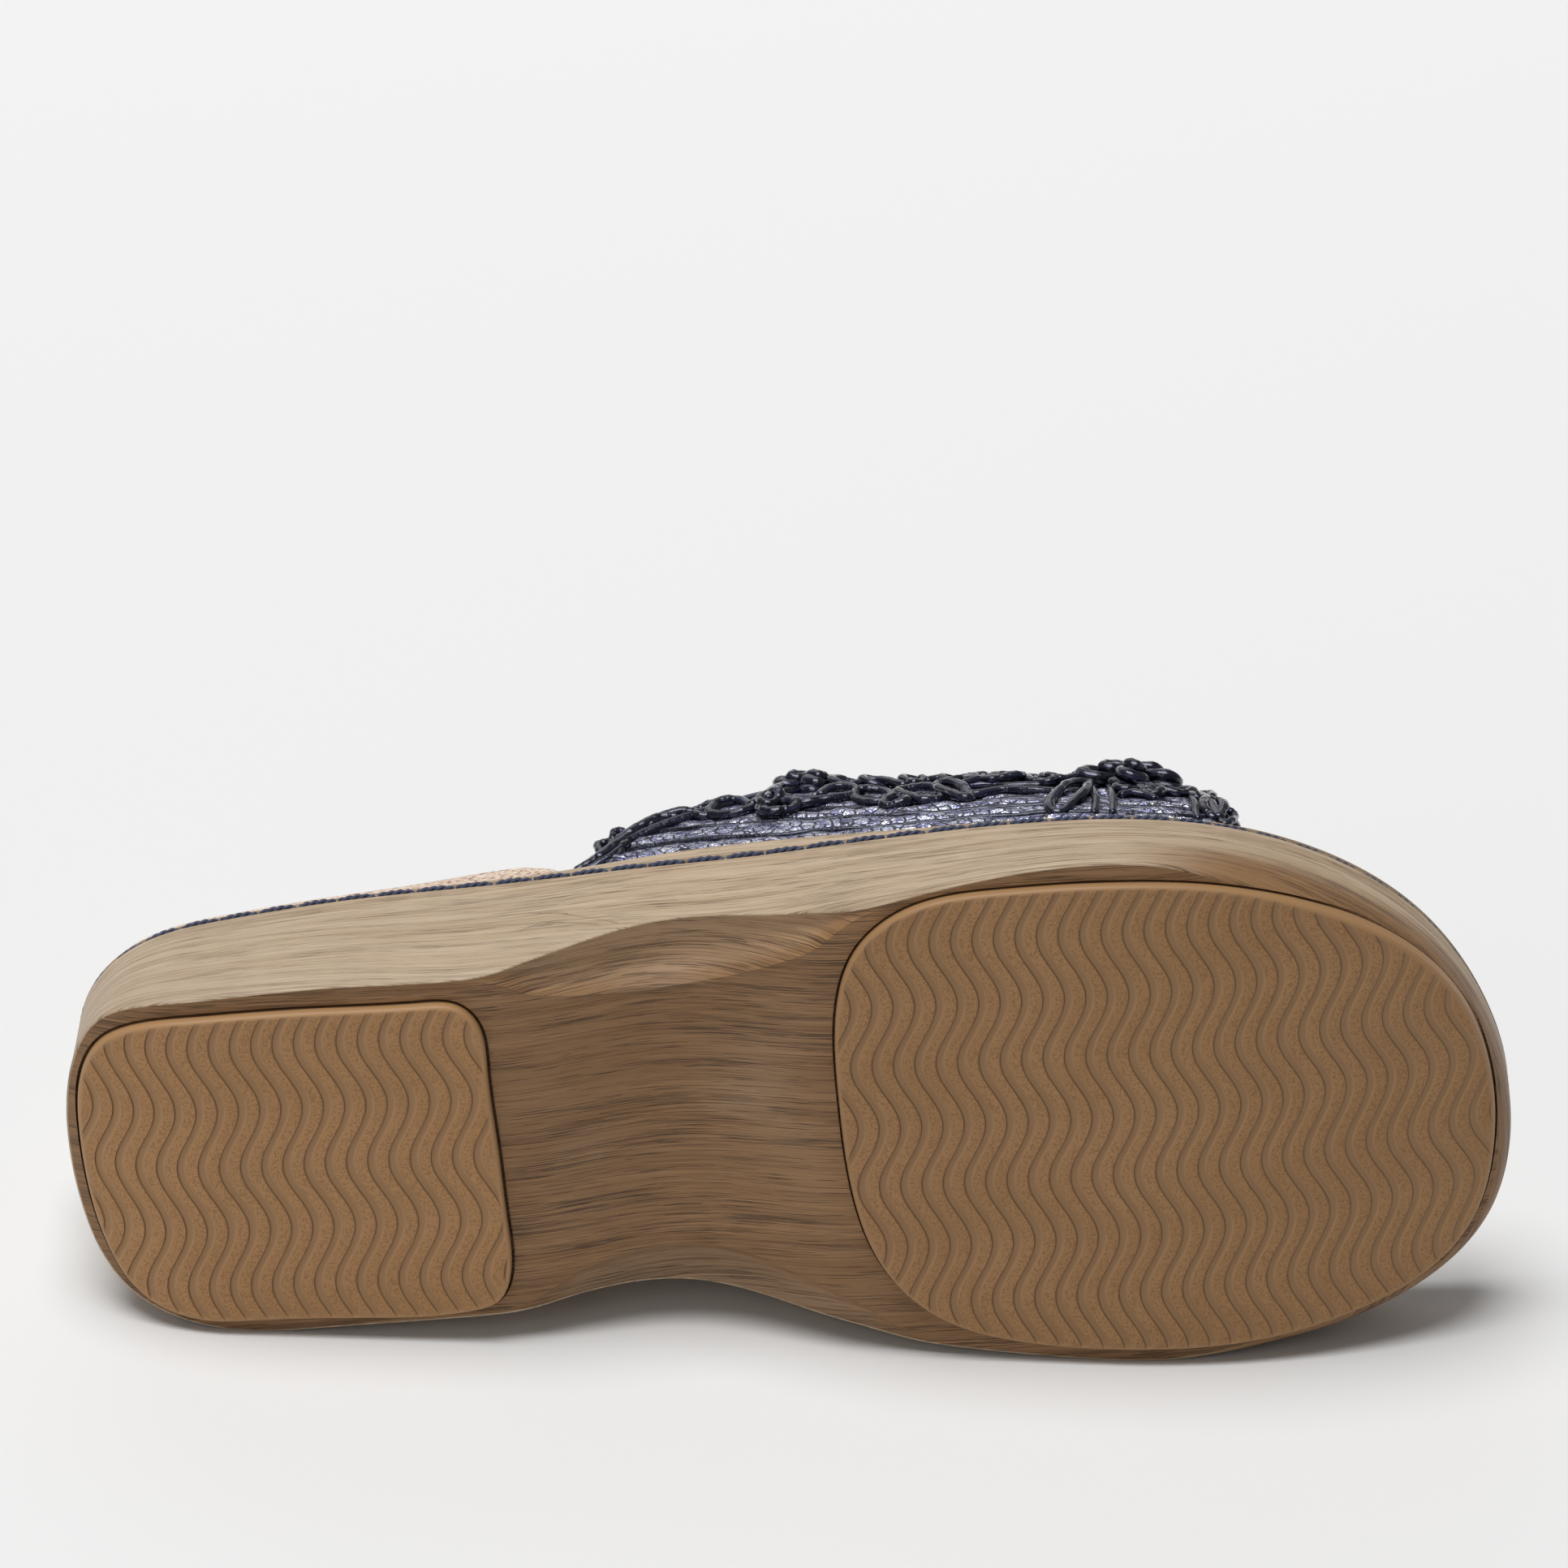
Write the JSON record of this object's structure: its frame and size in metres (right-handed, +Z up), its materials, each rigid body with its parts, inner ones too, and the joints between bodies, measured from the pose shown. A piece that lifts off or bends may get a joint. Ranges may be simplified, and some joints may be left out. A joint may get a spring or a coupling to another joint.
{
  "type": "slide sandal",
  "caption": "Open-toed right slide sandal lying on its side: wood-look platform sole, wave-tread pads, stitched rim, suede footbed and a dark leather strap with cord rosettes.",
  "frame": {"origin": "centre of the bounding box's bottom face, on the floor that the shoe lies on", "axes": "+X from heel to toe along the floor, -Y out of the tread, +Z up to the shoe's outer side"},
  "size_m": [0.2548, 0.0978, 0.0951],
  "materials": {
    "midsole": "moulded foam with embossed wood grain, satin",
    "pad": "sandy matt rubber with wave grooves",
    "footbed": "peach suede with a speckled nap",
    "upper": "navy metallic leather strips, cracked foil",
    "cord": "round black leather cord, glossy"
  },
  "bodies": {
    "root": {"midsole": "midsole", "heel_pad": "pad", "forefoot_pad": "pad", "footbed": "footbed", "upper": "upper", "throat_cord": "cord", "toe_cord": "cord", "rosette_outer_back": "cord", "rosette_outer_front": "cord", "rosette_crest_back": "cord", "rosette_crest_front": "cord", "rosette_inner_back": "cord", "rosette_inner_front": "cord"}
  },
  "joints": []
}
